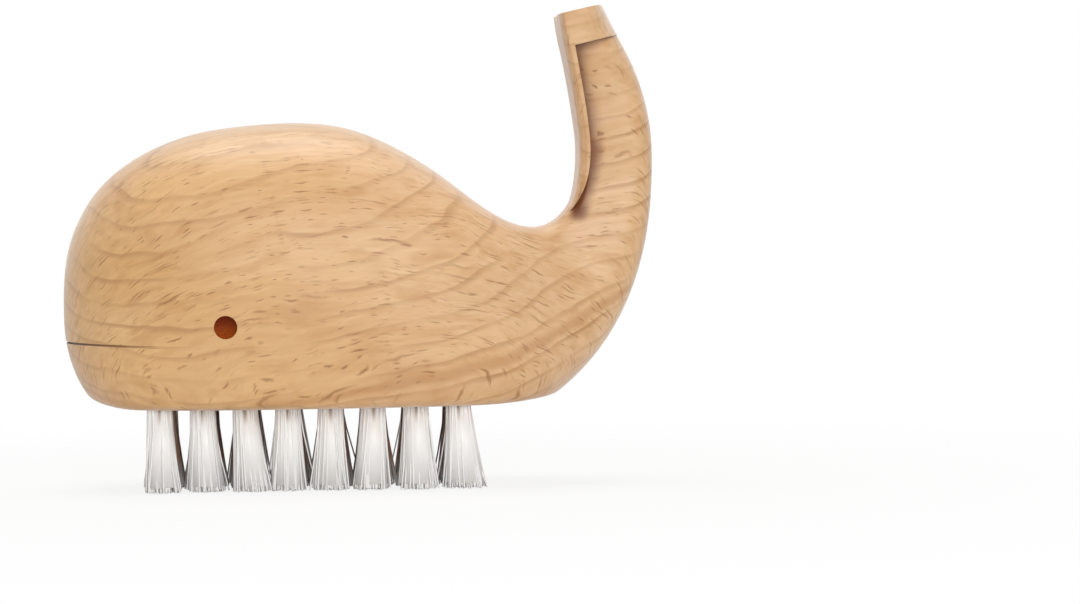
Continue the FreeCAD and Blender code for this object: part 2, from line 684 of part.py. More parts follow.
def tuft(row, column):
    """Bristle folded over its anchor: a round root in the hole and two halves that spread below."""
    name = f"tuft_r{row + 1}_c{column + 1}"
    body = doc.addObject("PartDesign::Body", name)
    profile = new_sketch(body, name + "_profile", "XZ_Plane")
    draw_polygon(profile, (
        ("0", "0"),
        ("places.tip_radius - sizes.tip_chamfer", "0"),
        ("places.tip_radius", "sizes.tip_chamfer"),
        ("places.root_radius", "places.belly_z"),
        ("places.root_radius", "places.fold_top_z - places.root_radius / 2"),
        ("places.root_radius / 2", "places.fold_top_z"),
        ("0", "places.fold_top_z"),
    ))
    turned = body.newObject("PartDesign::Revolution", name + "_bundle")
    turned.Profile = profile
    turned.ReferenceAxis = (profile, ["V_Axis"])
    turned.Angle = 360
    doc.recompute()
    gap = new_sketch(body, name + "_gap", "XZ_Plane")
    draw_polygon(gap, (
        ("-sizes.anchor_thickness / 2", "places.anchor_top_z"),
        ("-sizes.anchor_thickness / 2", "places.belly_z"),
        ("0", "places.belly_z - sizes.fold_split"),
        ("sizes.anchor_thickness / 2", "places.belly_z"),
        ("sizes.anchor_thickness / 2", "places.anchor_top_z"),
    ))
    body.Tip = pocket(body, gap, name + "_fold", both_sides=True)
    body.setExpression("Placement.Base.x", column_x(column))
    body.setExpression("Placement.Base.y", row_y(row))
    return body


def anchor(row, column):
    """Flat wire across one hole, seated in the wood at both ends."""
    strip = doc.addObject("Part::Box", f"anchor_r{row + 1}_c{column + 1}")
    strip.setExpression("Length", "sizes.anchor_thickness")
    strip.setExpression("Width", "places.anchor_length")
    strip.setExpression("Height", "sizes.anchor_height")
    strip.setExpression("Placement.Base.x", f"{column_x(column)} - sizes.anchor_thickness / 2")
    strip.setExpression("Placement.Base.y", f"{row_y(row)} - places.anchor_length / 2")
    strip.setExpression("Placement.Base.z", "places.anchor_low_z")
    return strip


parts = [block, eye_plug("left", -1), eye_plug("right", 1)]
anchors = []
for row in range(rows):
    for column in range(columns):
        parts.append(tuft(row, column))
        anchors.append(anchor(row, column))
anchor_group = doc.addObject("Part::Compound", "tuft_anchors")
anchor_group.Links = anchors
parts.append(anchor_group)
doc.recompute()


# Checks and files

for item in doc.Objects:
    if "Invalid" in item.State or "Error" in item.State:
        raise ValueError(f"{item.Label}: {item.State}")
for item in parts:
    if item.Shape.isNull() or not item.Shape.isValid():
        raise ValueError(f"{item.Label} has no valid shape")

os.makedirs("parts", exist_ok=True)
for item in parts:
    item.Shape.exportStep(f"parts/{item.Label}.step")
box = Part.makeCompound([item.Shape for item in parts]).optimalBoundingBox(True, False)
print(f"{len(parts)} nodes, {box.XLength:.2f} x {box.YLength:.2f} x {box.ZLength:.2f} mm")
print(f"x {box.XMin:.2f} to {box.XMax:.2f}, z {box.ZMin:.2f} to {box.ZMax:.2f}")
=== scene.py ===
"""Looks of the whale nail brush: oiled beech, dark eye plugs and white nylon bristle."""
import math
import random

import bpy
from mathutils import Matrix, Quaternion, Vector


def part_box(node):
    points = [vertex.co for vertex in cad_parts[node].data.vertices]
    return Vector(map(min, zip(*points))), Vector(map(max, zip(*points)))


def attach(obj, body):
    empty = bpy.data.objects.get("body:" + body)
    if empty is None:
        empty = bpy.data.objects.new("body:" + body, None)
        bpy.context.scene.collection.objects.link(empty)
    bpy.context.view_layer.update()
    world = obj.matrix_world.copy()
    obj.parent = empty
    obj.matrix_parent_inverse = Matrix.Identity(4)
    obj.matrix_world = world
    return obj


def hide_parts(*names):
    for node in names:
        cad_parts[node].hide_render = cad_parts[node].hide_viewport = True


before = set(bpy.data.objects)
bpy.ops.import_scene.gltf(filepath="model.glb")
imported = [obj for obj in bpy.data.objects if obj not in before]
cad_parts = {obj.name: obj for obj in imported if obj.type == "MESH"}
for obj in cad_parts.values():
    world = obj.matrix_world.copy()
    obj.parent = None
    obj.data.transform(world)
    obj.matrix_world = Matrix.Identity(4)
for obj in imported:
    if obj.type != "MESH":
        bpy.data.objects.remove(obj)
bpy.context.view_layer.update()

MM = 0.001

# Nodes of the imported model, and the height of the block's flat belly

BLOCK = "brush_block"
EYES = ("eye_plug_left", "eye_plug_right")
ANCHORS = "tuft_anchors"
ROWS = 4
COLUMNS = 8
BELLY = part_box(BLOCK)[0].z

# Sockets that go by number: those of a Map Range node, and those of a Mix node that mixes colours

VALUE, FROM_LOW, FROM_HIGH, TO_LOW, TO_HIGH = range(5)
SHARE, UNDER, OVER = 0, 6, 7
MIXED = 2


# Small helpers

def srgb(code):
    """Linear colour of an sRGB hex value such as "#e4bd8c"."""
    parts = [int(code[start:start + 2], 16) / 255 for start in (1, 3, 5)]
    linear = [part / 12.92 if part <= 0.04045 else ((part + 0.055) / 1.055) ** 2.4 for part in parts]
    return (*linear, 1.0)


def add(tree, kind, inputs=None, **settings):
    """Add a node. inputs gives sockets a value, or a link where the value is another node's output."""
    made = tree.nodes.new(kind)
    for name, setting in settings.items():
        setattr(made, name, setting)
    for socket, value in (inputs or {}).items():
        if isinstance(value, bpy.types.NodeSocket):
            tree.links.new(value, made.inputs[socket])
        else:
            made.inputs[socket].default_value = value
    return made


def scale_of(*lengths):
    """Mapping scale at which one unit of a pattern is as long as given along each axis."""
    return tuple(1 / length for length in lengths)


def new_material(name):
    """A material with an empty node tree, and that tree."""
    material = bpy.data.materials.new(name)
    material.use_nodes = True
    material.node_tree.nodes.clear()
    return material, material.node_tree


def deselect_all():
    """Leave nothing selected, so that the next operators act on the new piece alone."""
    bpy.ops.object.select_all(action="DESELECT")


def dress(piece, material):
    """Give a piece one material."""
    piece.data.materials.clear()
    piece.data.materials.append(material)


def tuft_name(row, column):
    """Node of the tuft in a row and a column, both counted from 0."""
    return f"tuft_r{row + 1}_c{column + 1}"


def tuft_centre(row, column):
    """Middle of a tuft's box."""
    low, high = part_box(tuft_name(row, column))
    return (low + high) / 2


# Beech. Sawn from one plank, so rings and ray flecks run through the block as they did through the tree.
# The pattern is worked out in millimetres, so lengths that aren't given in MM are millimetres here.

GRAIN_TILT = math.radians(9)
PITH_PLACE = Vector((0.0, 40.0, -68.0))
WANDER = 9.0
RING_RADIUS = 115.0
RING_SPACING = 4.0
DARK_YEAR = 105.5
FLECK_CELLS = (((13, 0.5, 9), 0.78), ((5.5, 0.36, 7), 0.55), ((2.8, 0.25, 5), 0.42))

# Foot of the wing at the whale's right side, where painted shade runs down the recess, and how wide the
# painted shade spreads there

CREASE_LOW = Vector((40.6, 7.0, 50.6)) * MM
CREASE_HIGH = Vector((43.6, 6.2, 62.0)) * MM
CREASE_REACH = 5.0 * MM
SHADE_BAND_WIDTH = 2.8 * MM
SHADE_SPOT_WIDTH = 2.6 * MM


def trunk_directions(tree, place):
    """Where a place lies in the tree: along the trunk, round the pith and out from the pith."""
    wood = add(tree, "ShaderNodeMapping", {"Vector": place, "Scale": scale_of(MM, MM, MM)}).outputs[0]
    wood = add(tree, "ShaderNodeMapping", {
        "Vector": wood, "Location": -PITH_PLACE, "Rotation": (0, GRAIN_TILT, 0)}).outputs[0]

    # Slow wander of the grain, longest along the trunk
    wander = add(tree, "ShaderNodeMapping", {"Vector": wood, "Scale": scale_of(38, 20, 20)}).outputs[0]
    wander = add(tree, "ShaderNodeTexNoise", {
        "Vector": wander, "Scale": 1, "Detail": 4, "Roughness": 0.45}).outputs["Color"]
    wander = add(tree, "ShaderNodeVectorMath", {
        0: wander, 1: (0.5, 0.5, 0.5)}, operation="SUBTRACT").outputs[0]
    wander = add(tree, "ShaderNodeVectorMath", {0: wander, "Scale": WANDER}, operation="SCALE").outputs[0]
    warped = add(tree, "ShaderNodeVectorMath", {0: wood, 1: wander}, operation="ADD").outputs[0]

    along, across, upright = add(tree, "ShaderNodeSeparateXYZ", {0: warped}).outputs
    outward = add(tree, "ShaderNodeVectorMath", {0: warped, 1: (0, 1, 1)}, operation="MULTIPLY").outputs[0]
    outward = add(tree, "ShaderNodeVectorMath", {0: outward}, operation="LENGTH").outputs["Value"]
    turn = add(tree, "ShaderNodeMath", {0: upright, 1: across}, operation="ARCTAN2").outputs[0]
    round_pith = add(tree, "ShaderNodeMath", {0: turn, 1: RING_RADIUS}, operation="MULTIPLY").outputs[0]
    trunk = add(tree, "ShaderNodeCombineXYZ", {0: along, 1: round_pith, 2: outward}).outputs[0]
    return trunk, along, outward


def ring_lines(tree, trunk, outward):
    """How far a year has come, and the soft dark line at its end, 1 mm wide and broken along the trunk."""
    years = add(tree, "ShaderNodeMath", {0: outward, 1: RING_SPACING}, operation="DIVIDE").outputs[0]
    season = add(tree, "ShaderNodeMath", {0: years}, operation="FRACT").outputs[0]
    rise = add(tree, "ShaderNodeMapRange", {
        VALUE: season, FROM_LOW: 0.70, FROM_HIGH: 0.93}, interpolation_type="SMOOTHSTEP").outputs[0]
    fall = add(tree, "ShaderNodeMapRange", {
        VALUE: season, FROM_LOW: 1.0, FROM_HIGH: 0.94}, interpolation_type="SMOOTHSTEP").outputs[0]

    # Some years have a stronger line than others
    year = add(tree, "ShaderNodeMath", {0: years}, operation="FLOOR").outputs[0]
    growth = add(tree, "ShaderNodeTexWhiteNoise", {"W": year}, noise_dimensions="1D").outputs["Value"]
    growth = add(tree, "ShaderNodeMapRange", {VALUE: growth, TO_LOW: 0.45, TO_HIGH: 1.0}).outputs[0]

    broken = add(tree, "ShaderNodeMapping", {"Vector": trunk, "Scale": scale_of(20, 9, 9)}).outputs[0]
    broken = add(tree, "ShaderNodeTexNoise", {"Vector": broken, "Scale": 1, "Detail": 2}).outputs[0]
    broken = add(tree, "ShaderNodeMapRange", {VALUE: broken, FROM_LOW: 0.34, FROM_HIGH: 0.64}).outputs[0]

    line = add(tree, "ShaderNodeMath", {0: rise, 1: fall}, operation="MULTIPLY").outputs[0]
    line = add(tree, "ShaderNodeMath", {0: line, 1: growth}, operation="MULTIPLY").outputs[0]
    line = add(tree, "ShaderNodeMath", {0: line, 1: broken}, operation="MULTIPLY").outputs[0]
    return season, line


def dark_year(tree, outward):
    """One dark year, which comes out low at the rear as a broad soft band."""
    away = add(tree, "ShaderNodeMath", {0: outward, 1: DARK_YEAR}, operation="SUBTRACT").outputs[0]
    away = add(tree, "ShaderNodeMath", {0: away}, operation="ABSOLUTE").outputs[0]
    return add(tree, "ShaderNodeMapRange", {
        VALUE: away, FROM_LOW: 1.4, FROM_HIGH: 0.2}, interpolation_type="SMOOTHSTEP").outputs[0]


def ray_flecks(tree, ragged):
    """Thin spindles along the trunk that reach deep along the ray: a few long ones and many short ones."""
    fleck = None
    for cell, rarity in FLECK_CELLS:
        cells = add(tree, "ShaderNodeMapping", {"Vector": ragged, "Scale": scale_of(*cell)}).outputs[0]
        cells = add(tree, "ShaderNodeTexVoronoi", {"Vector": cells, "Scale": 1, "Randomness": 1}).outputs
        spindle = add(tree, "ShaderNodeMapRange", {
            VALUE: cells["Distance"], FROM_LOW: 0.36, FROM_HIGH: 0.1},
            interpolation_type="SMOOTHSTEP").outputs[0]
        chance = add(tree, "ShaderNodeSeparateColor", {0: cells["Color"]}).outputs[0]
        chance = add(tree, "ShaderNodeMapRange", {VALUE: chance, FROM_LOW: rarity, FROM_HIGH: 1.0}).outputs[0]
        spindle = add(tree, "ShaderNodeMath", {0: spindle, 1: chance}, operation="MULTIPLY").outputs[0]
        if fleck is not None:
            spindle = add(tree, "ShaderNodeMath", {0: fleck, 1: spindle}, operation="MAXIMUM").outputs[0]
        fleck = spindle
    return fleck


def painted_crease_shade(tree, place, normal):
    """Painted shade: darker in the creases, in a band down the foot of each wing of the tail, and darkest in
    a spot at its end.
    """
    x, y, z = add(tree, "ShaderNodeSeparateXYZ", {0: place}).outputs

    # Painted shade in the creases, where the surface sees little but itself, most at the tail
    rearward = add(tree, "ShaderNodeMapRange", {
        VALUE: x, FROM_LOW: 15 * MM, FROM_HIGH: 30 * MM, TO_LOW: 0.5, TO_HIGH: 1.0}).outputs[0]
    open_sky = add(tree, "ShaderNodeAmbientOcclusion", {"Distance": CREASE_REACH}, samples=8, only_local=True)
    crease_shade = add(tree, "ShaderNodeMapRange", {
        VALUE: open_sky.outputs["AO"], FROM_LOW: 0.90, FROM_HIGH: 0.50, TO_HIGH: rearward},
        interpolation_type="SMOOTHSTEP").outputs[0]

    # Painted shade along the wings' feet, the same at both sides, on the faces that look sideways
    sideways = add(tree, "ShaderNodeSeparateXYZ", {0: normal}).outputs["Y"]
    sideways = add(tree, "ShaderNodeMath", {0: sideways}, operation="ABSOLUTE").outputs[0]
    sideways = add(tree, "ShaderNodeMapRange", {VALUE: sideways, FROM_LOW: 0.5, FROM_HIGH: 0.85}).outputs[0]
    y = add(tree, "ShaderNodeMath", {0: y}, operation="ABSOLUTE").outputs[0]
    folded = add(tree, "ShaderNodeCombineXYZ", {0: x, 1: y, 2: z}).outputs[0]
    reach = add(tree, "ShaderNodeVectorMath", {0: folded, 1: CREASE_LOW}, operation="SUBTRACT").outputs[0]

    climb = CREASE_HIGH - CREASE_LOW
    share = add(tree, "ShaderNodeVectorMath", {
        0: reach, 1: climb / climb.length_squared}, operation="DOT_PRODUCT").outputs["Value"]
    share = add(tree, "ShaderNodeClamp", {0: share}).outputs[0]
    nearest = add(tree, "ShaderNodeVectorMath", {0: climb, "Scale": share}, operation="SCALE").outputs[0]
    shade_band = add(tree, "ShaderNodeVectorMath", {0: reach, 1: nearest}, operation="DISTANCE").outputs["Value"]
    shade_band = add(tree, "ShaderNodeMapRange", {
        VALUE: shade_band, FROM_LOW: SHADE_BAND_WIDTH, FROM_HIGH: 0.3 * MM, TO_HIGH: sideways},
        interpolation_type="SMOOTHSTEP").outputs[0]

    shade_spot = add(tree, "ShaderNodeVectorMath", {0: reach}, operation="LENGTH").outputs["Value"]
    shade_spot = add(tree, "ShaderNodeMapRange", {
        VALUE: shade_spot, FROM_LOW: SHADE_SPOT_WIDTH, FROM_HIGH: 0.2 * MM, TO_HIGH: sideways},
        interpolation_type="SMOOTHSTEP").outputs[0]
    return crease_shade, shade_band, shade_spot


def oiled_beech():
    """Sanded, oiled beech: pinkish tan, faint broken ring lines, many short brown ray flecks, satin."""
    material, tree = new_material("oiled_beech")
    coordinates = add(tree, "ShaderNodeTexCoord").outputs
    trunk, along, outward = trunk_directions(tree, coordinates["Object"])
    season, line = ring_lines(tree, trunk, outward)
    dark = dark_year(tree, outward)

    # Torn fibre, which makes the edges of flecks and streaks ragged
    torn = add(tree, "ShaderNodeMapping", {"Vector": trunk, "Scale": scale_of(2.2, 0.8, 12)}).outputs[0]
    torn = add(tree, "ShaderNodeTexNoise", {"Vector": torn, "Scale": 1, "Detail": 2}).outputs["Color"]
    torn = add(tree, "ShaderNodeVectorMath", {0: torn, 1: (2.0, 0.35, 1.0)}, operation="MULTIPLY").outputs[0]
    ragged = add(tree, "ShaderNodeVectorMath", {0: trunk, 1: torn}, operation="ADD").outputs[0]
    fleck = ray_flecks(tree, ragged)

    # Fibre: fine streaks along the trunk, drawn three times coarser than real fibre so that they show
    fibre = add(tree, "ShaderNodeMapping", {"Vector": trunk, "Scale": scale_of(11, 0.7, 1.8)}).outputs[0]
    fibre = add(tree, "ShaderNodeTexNoise", {
        "Vector": fibre, "Scale": 1, "Detail": 3, "Roughness": 0.6}).outputs[0]
    fibre = add(tree, "ShaderNodeMapRange", {VALUE: fibre, FROM_LOW: 0.32, FROM_HIGH: 0.68}).outputs[0]

    # Streaks: bundles of darker fibre about 2 mm apart, wavy along the trunk
    streak = add(tree, "ShaderNodeMapping", {"Vector": ragged, "Scale": scale_of(10, 1.7, 3.4)}).outputs[0]
    streak = add(tree, "ShaderNodeTexNoise", {"Vector": streak, "Scale": 1, "Detail": 2}).outputs[0]
    streak = add(tree, "ShaderNodeMapRange", {VALUE: streak, FROM_LOW: 0.50, FROM_HIGH: 0.70}).outputs[0]

    # Slow colour change across the plank, pinker in places and towards the tail
    patch = add(tree, "ShaderNodeMapping", {"Vector": trunk, "Scale": scale_of(30, 12, 12)}).outputs[0]
    patch = add(tree, "ShaderNodeTexNoise", {"Vector": patch, "Scale": 1, "Detail": 1}).outputs[0]
    patch = add(tree, "ShaderNodeMapRange", {VALUE: patch, FROM_LOW: 0.3, FROM_HIGH: 0.7}).outputs[0]
    blush = add(tree, "ShaderNodeMapping", {
        "Vector": trunk, "Location": (50, 0, 0), "Scale": scale_of(22, 9, 14)}).outputs[0]
    blush = add(tree, "ShaderNodeTexNoise", {"Vector": blush, "Scale": 1, "Detail": 3}).outputs[0]
    blush = add(tree, "ShaderNodeMapRange", {VALUE: blush, FROM_LOW: 0.4, FROM_HIGH: 0.7}).outputs[0]
    tailward = add(tree, "ShaderNodeMapRange", {VALUE: along, FROM_LOW: -30, FROM_HIGH: 35}).outputs[0]

    crease_shade, shade_band, shade_spot = painted_crease_shade(tree, coordinates["Object"], coordinates["Normal"])

    colour = add(tree, "ShaderNodeMix", {
        SHARE: patch, UNDER: srgb("#e5ba80"), OVER: srgb("#dcae73")}, data_type="RGBA").outputs[MIXED]
    for amount, strength, code in (
        (tailward, 0.55, "#dfbb96"),
        (blush, 0.30, "#d8b393"),
        (season, 0.14, "#cf9d66"),
        (line, 0.85, "#a67544"),
        (dark, 0.50, "#b27a45"),
        (fibre, 0.45, "#c9965f"),
        (streak, 0.40, "#bb8449"),
        (fleck, 0.85, "#96632f"),
        # Painted shade in the creases and along the feet of the tail's wings, darkest at their lower end
        (crease_shade, 0.90, "#6e3a10"),
        (shade_band, 0.70, "#7a4010"),
        (shade_spot, 0.85, "#6a2c00"),
    ):
        share = add(tree, "ShaderNodeMath", {0: amount, 1: strength}, operation="MULTIPLY").outputs[0]
        colour = add(tree, "ShaderNodeMix", {
            SHARE: share, UNDER: colour, OVER: srgb(code)}, data_type="RGBA").outputs[MIXED]

    # Flecks lie a little lower than the fibre around them
    height = add(tree, "ShaderNodeMath", {0: fibre, 1: fleck}, operation="SUBTRACT").outputs[0]
    bump = add(tree, "ShaderNodeBump", {"Height": height, "Strength": 0.12, "Distance": 0.1 * MM}).outputs[0]
    rough = add(tree, "ShaderNodeMapRange", {VALUE: fibre, TO_LOW: 0.36, TO_HIGH: 0.46}).outputs[0]
    shader = add(tree, "ShaderNodeBsdfPrincipled", {
        "Base Color": colour, "Roughness": rough, "Normal": bump, "IOR": 1.4, "Sheen Weight": 0.4,
        "Coat Weight": 0.35, "Coat Roughness": 0.45})
    add(tree, "ShaderNodeOutputMaterial", {0: shader.outputs[0]})
    return material


def shaded_stained_plug(bottom, top):
    """Stained hardwood, end grain outwards: red brown, with painted light and shade that make it darker from
    bottom to top, fine dark pores, satin.
    """
    material, tree = new_material("stained_hardwood")
    place = add(tree, "ShaderNodeTexCoord").outputs["Object"]
    pores = add(tree, "ShaderNodeMapping", {
        "Vector": place, "Scale": scale_of(0.35 * MM, 3 * MM, 0.35 * MM)}).outputs[0]
    pores = add(tree, "ShaderNodeTexNoise", {"Vector": pores, "Scale": 1, "Detail": 2}).outputs[0]
    dark = add(tree, "ShaderNodeMapRange", {
        VALUE: pores, FROM_LOW: 0.35, FROM_HIGH: 0.7, TO_HIGH: 0.5}).outputs[0]
    # Painted light and shade: lighter at the bottom of the plug, darker at its top
    top_shade = add(tree, "ShaderNodeSeparateXYZ", {0: place}).outputs["Z"]
    top_shade = add(tree, "ShaderNodeMapRange", {
        VALUE: top_shade, FROM_LOW: bottom, FROM_HIGH: top}, interpolation_type="SMOOTHSTEP").outputs[0]
    colour = add(tree, "ShaderNodeMix", {
        SHARE: top_shade, UNDER: srgb("#a84c06"), OVER: srgb("#641c02")}, data_type="RGBA").outputs[MIXED]
    colour = add(tree, "ShaderNodeMix", {
        SHARE: dark, UNDER: colour, OVER: srgb("#561a02")}, data_type="RGBA").outputs[MIXED]
    bump = add(tree, "ShaderNodeBump", {"Height": pores, "Strength": 0.2, "Distance": 0.05 * MM}).outputs[0]
    shader = add(tree, "ShaderNodeBsdfPrincipled", {
        "Base Color": colour, "Roughness": 0.7, "Normal": bump, "IOR": 1.25})
    add(tree, "ShaderNodeOutputMaterial", {0: shader.outputs[0]})
    return material


def white_nylon(first, last):
    """Drawn nylon filament: milky white and softly glossy, with brown shade painted on it inside the field of
    tufts.

    first and last are the centres of two tufts at opposite corners of the field.
    """
    material, tree = new_material("white_nylon")
    place = add(tree, "ShaderNodeTexCoord").outputs["Object"]
    x, y, z = add(tree, "ShaderNodeSeparateXYZ", {0: place}).outputs
    vary = add(tree, "ShaderNodeMapping", {
        "Vector": place, "Scale": scale_of(0.5 * MM, 0.5 * MM, 9 * MM)}).outputs[0]
    vary = add(tree, "ShaderNodeTexNoise", {"Vector": vary, "Scale": 1, "Detail": 1}).outputs[0]
    colour = add(tree, "ShaderNodeMix", {
        SHARE: vary, UNDER: srgb("#ffffff"), OVER: srgb("#f4f3f1")}, data_type="RGBA").outputs[MIXED]

    # How far a place lies inside the field of tufts, from its outer rows inwards and from the tips upwards;
    # there brown shade is painted on the white
    inward = add(tree, "ShaderNodeVectorMath", {
        0: place, 1: (first + last) / 2}, operation="SUBTRACT").outputs[0]
    inward = add(tree, "ShaderNodeVectorMath", {0: inward}, operation="ABSOLUTE").outputs[0]
    inward = add(tree, "ShaderNodeVectorMath", {
        0: inward, 1: (last - first) / 2}, operation="SUBTRACT").outputs[0]
    inward = add(tree, "ShaderNodeSeparateXYZ", {0: inward}).outputs
    inward = add(tree, "ShaderNodeMath", {0: inward["X"], 1: inward["Y"]}, operation="MAXIMUM").outputs[0]
    inward = add(tree, "ShaderNodeMapRange", {
        VALUE: inward, FROM_LOW: -0.6 * MM, FROM_HIGH: -2.8 * MM}).outputs[0]
    upward = add(tree, "ShaderNodeMapRange", {VALUE: z, FROM_LOW: 1.0 * MM, FROM_HIGH: 6.0 * MM}).outputs[0]
    inner_shade = add(tree, "ShaderNodeMath", {0: inward, 1: upward}, operation="MULTIPLY").outputs[0]
    # Painted shade, brown as if lit by the wood, on the bristle inside the field of tufts
    colour = add(tree, "ShaderNodeMix", {
        SHARE: inner_shade, UNDER: colour, OVER: srgb("#a87c60")}, data_type="RGBA").outputs[MIXED]

    # Painted shade in the gap at the root of each tuft, between the two halves of its fold
    pitch = (last.x - first.x) / (COLUMNS - 1)
    aside = add(tree, "ShaderNodeMath", {0: x, 1: first.x - pitch / 2}, operation="SUBTRACT").outputs[0]
    aside = add(tree, "ShaderNodeMath", {0: aside, 1: pitch}, operation="FLOORED_MODULO").outputs[0]
    aside = add(tree, "ShaderNodeMath", {0: aside, 1: pitch / 2}, operation="SUBTRACT").outputs[0]
    aside = add(tree, "ShaderNodeMath", {0: aside}, operation="ABSOLUTE").outputs[0]
    rooted = add(tree, "ShaderNodeMapRange", {
        VALUE: z, FROM_LOW: BELLY - 3.0 * MM, FROM_HIGH: BELLY - 0.5 * MM, TO_HIGH: 0.6}).outputs[0]
    split_shade = add(tree, "ShaderNodeMapRange", {
        VALUE: aside, FROM_LOW: 0.45 * MM, FROM_HIGH: 0.1 * MM, TO_HIGH: rooted},
        interpolation_type="SMOOTHSTEP").outputs[0]
    colour = add(tree, "ShaderNodeMix", {
        SHARE: split_shade, UNDER: colour, OVER: srgb("#8a6a56")}, data_type="RGBA").outputs[MIXED]

    shader = add(tree, "ShaderNodeBsdfPrincipled", {
        "Base Color": colour, "Roughness": 0.4, "IOR": 1.53, "Sheen Weight": 0.6})
    add(tree, "ShaderNodeOutputMaterial", {0: shader.outputs[0]})
    return material


def bright_wire():
    """Flat rolled steel wire: bright, with fine drawing lines along its length."""
    material, tree = new_material("rolled_steel_wire")
    place = add(tree, "ShaderNodeTexCoord").outputs["Object"]
    lines = add(tree, "ShaderNodeMapping", {
        "Vector": place, "Scale": scale_of(0.1 * MM, 4 * MM, 0.1 * MM)}).outputs[0]
    lines = add(tree, "ShaderNodeTexNoise", {"Vector": lines, "Scale": 1, "Detail": 2}).outputs[0]
    rough = add(tree, "ShaderNodeMapRange", {
        VALUE: lines, FROM_LOW: 0.3, FROM_HIGH: 0.7, TO_LOW: 0.25, TO_HIGH: 0.45}).outputs[0]
    shader = add(tree, "ShaderNodeBsdfPrincipled", {
        "Base Color": srgb("#c9c8c4"), "Metallic": 1, "Roughness": rough})
    add(tree, "ShaderNodeOutputMaterial", {0: shader.outputs[0]})
    return material


# Block and anchors, whose CAD shapes stay

dress(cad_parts[BLOCK], oiled_beech())
dress(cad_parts[ANCHORS], bright_wire())


# Eyes

PLUG_SIDES = 48
PLUG_EDGE_ANGLE = math.radians(30)
DISH_DEPTH = 0.9 * MM
DISH_RINGS = 8


def eye_plug(name, finish):
    """Turned plug whose outer end is hollowed to a shallow dish, steepest at its rim."""
    low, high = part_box(name)
    centre = (low + high) / 2
    radius = (high.x - low.x) / 2
    outer, inward = (low.y, 1) if centre.y < 0 else (high.y, -1)
    deselect_all()
    bpy.ops.mesh.primitive_cylinder_add(
        vertices=PLUG_SIDES, radius=radius, depth=high.y - low.y,
        location=centre, rotation=(math.pi / 2, 0, 0))
    piece = bpy.context.object
    piece.name = name + "_dished"
    bpy.ops.object.transform_apply(location=True, rotation=True, scale=False)

    # Select the outer end alone
    bpy.ops.object.mode_set(mode="EDIT")
    bpy.ops.mesh.select_mode(type="FACE")
    bpy.ops.mesh.select_all(action="DESELECT")
    bpy.ops.object.mode_set(mode="OBJECT")
    for face in piece.data.polygons:
        face.select = abs(face.center.y - outer) < radius / 100
    bpy.ops.object.mode_set(mode="EDIT")

    # Each ring sinks along a parabola
    for ring in range(1, DISH_RINGS):
        bpy.ops.mesh.inset(thickness=radius / DISH_RINGS)
        before = 1 - (ring - 1) / DISH_RINGS
        after = 1 - ring / DISH_RINGS
        sink = DISH_DEPTH * (before ** 2 - after ** 2)
        bpy.ops.transform.translate(value=(0, inward * sink, 0))
    bpy.ops.object.mode_set(mode="OBJECT")
    bpy.ops.object.shade_smooth_by_angle(angle=PLUG_EDGE_ANGLE)
    dress(piece, finish)
    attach(piece, "root")
    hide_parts(name)


eye_low, eye_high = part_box(EYES[0])
plug_finish = shaded_stained_plug(eye_low.z, eye_high.z)
for name in EYES:
    eye_plug(name, plug_finish)


# Bristles. Each tuft is a packed core inside single bristles, drawn thicker than real ones so that they show.

BRISTLES = 240
BRISTLE_RADIUS = 0.14 * MM
BRISTLE_SIDES = 6
GOLDEN_ANGLE = math.pi * (3 - math.sqrt(5))
ROOT_RADIUS = 2.22 * MM
ROOT_TURN_JITTER = 0.15
ROOT_INSIDE = 4.0 * MM
FOLD_GAP = 0.35 * MM
TIP_SPREAD = 1.45
END_SPREAD = 1.75
TIP_JITTER = 0.32 * MM
STRAY_JITTER = 0.9 * MM
STRAY_SHARE = 0.10
TUFT_LEAN = 0.5 * MM
END_LEAN = 0.9 * MM
TRIM = 0.35 * MM
BOW_LEAST = 1.0
BOW_MOST = 1.5
STATIONS = (0.0, 0.3, 0.65, 1.0)
CORE_SIDES = 32
CORE_TOP = 1.0 * MM
CORE_LOW = 1.2 * MM
CORE_ROOT = 0.92
CORE_TIP = 0.98

nylon = white_nylon(tuft_centre(0, 0), tuft_centre(ROWS - 1, COLUMNS - 1))


def bristle_roots(dice):
    """Places of the bristles in a hole, on a sunflower spiral: x parted by the fold, y, and x as it was."""
    roots = []
    for number in range(BRISTLES):
        reach = ROOT_RADIUS * math.sqrt((number + 0.5) / BRISTLES)
        turn = number * GOLDEN_ANGLE + dice.uniform(-ROOT_TURN_JITTER, ROOT_TURN_JITTER)
        x = reach * math.cos(turn)
        y = reach * math.sin(turn)
        parted = math.copysign(FOLD_GAP / 2 + abs(x) * (1 - FOLD_GAP / 2 / ROOT_RADIUS), x)
        roots.append((parted, y, x))
    return roots


def tuft_core(centre, lean_x, lean_y, spread):
    """Packed inner bristle of a tuft, which only shows between the outer ones and stops short of the tips."""
    deselect_all()
    top = BELLY + CORE_TOP
    bpy.ops.mesh.primitive_cone_add(
        vertices=CORE_SIDES, radius1=CORE_TIP * spread * ROOT_RADIUS, radius2=CORE_ROOT * ROOT_RADIUS,
        depth=top - CORE_LOW, location=(centre.x, centre.y, (top + CORE_LOW) / 2))
    bpy.ops.object.transform_apply(location=True, rotation=False, scale=False)
    for vertex in bpy.context.object.data.vertices:
        share = (top - vertex.co.z) / BELLY
        vertex.co.x += lean_x * share
        vertex.co.y += lean_y * share


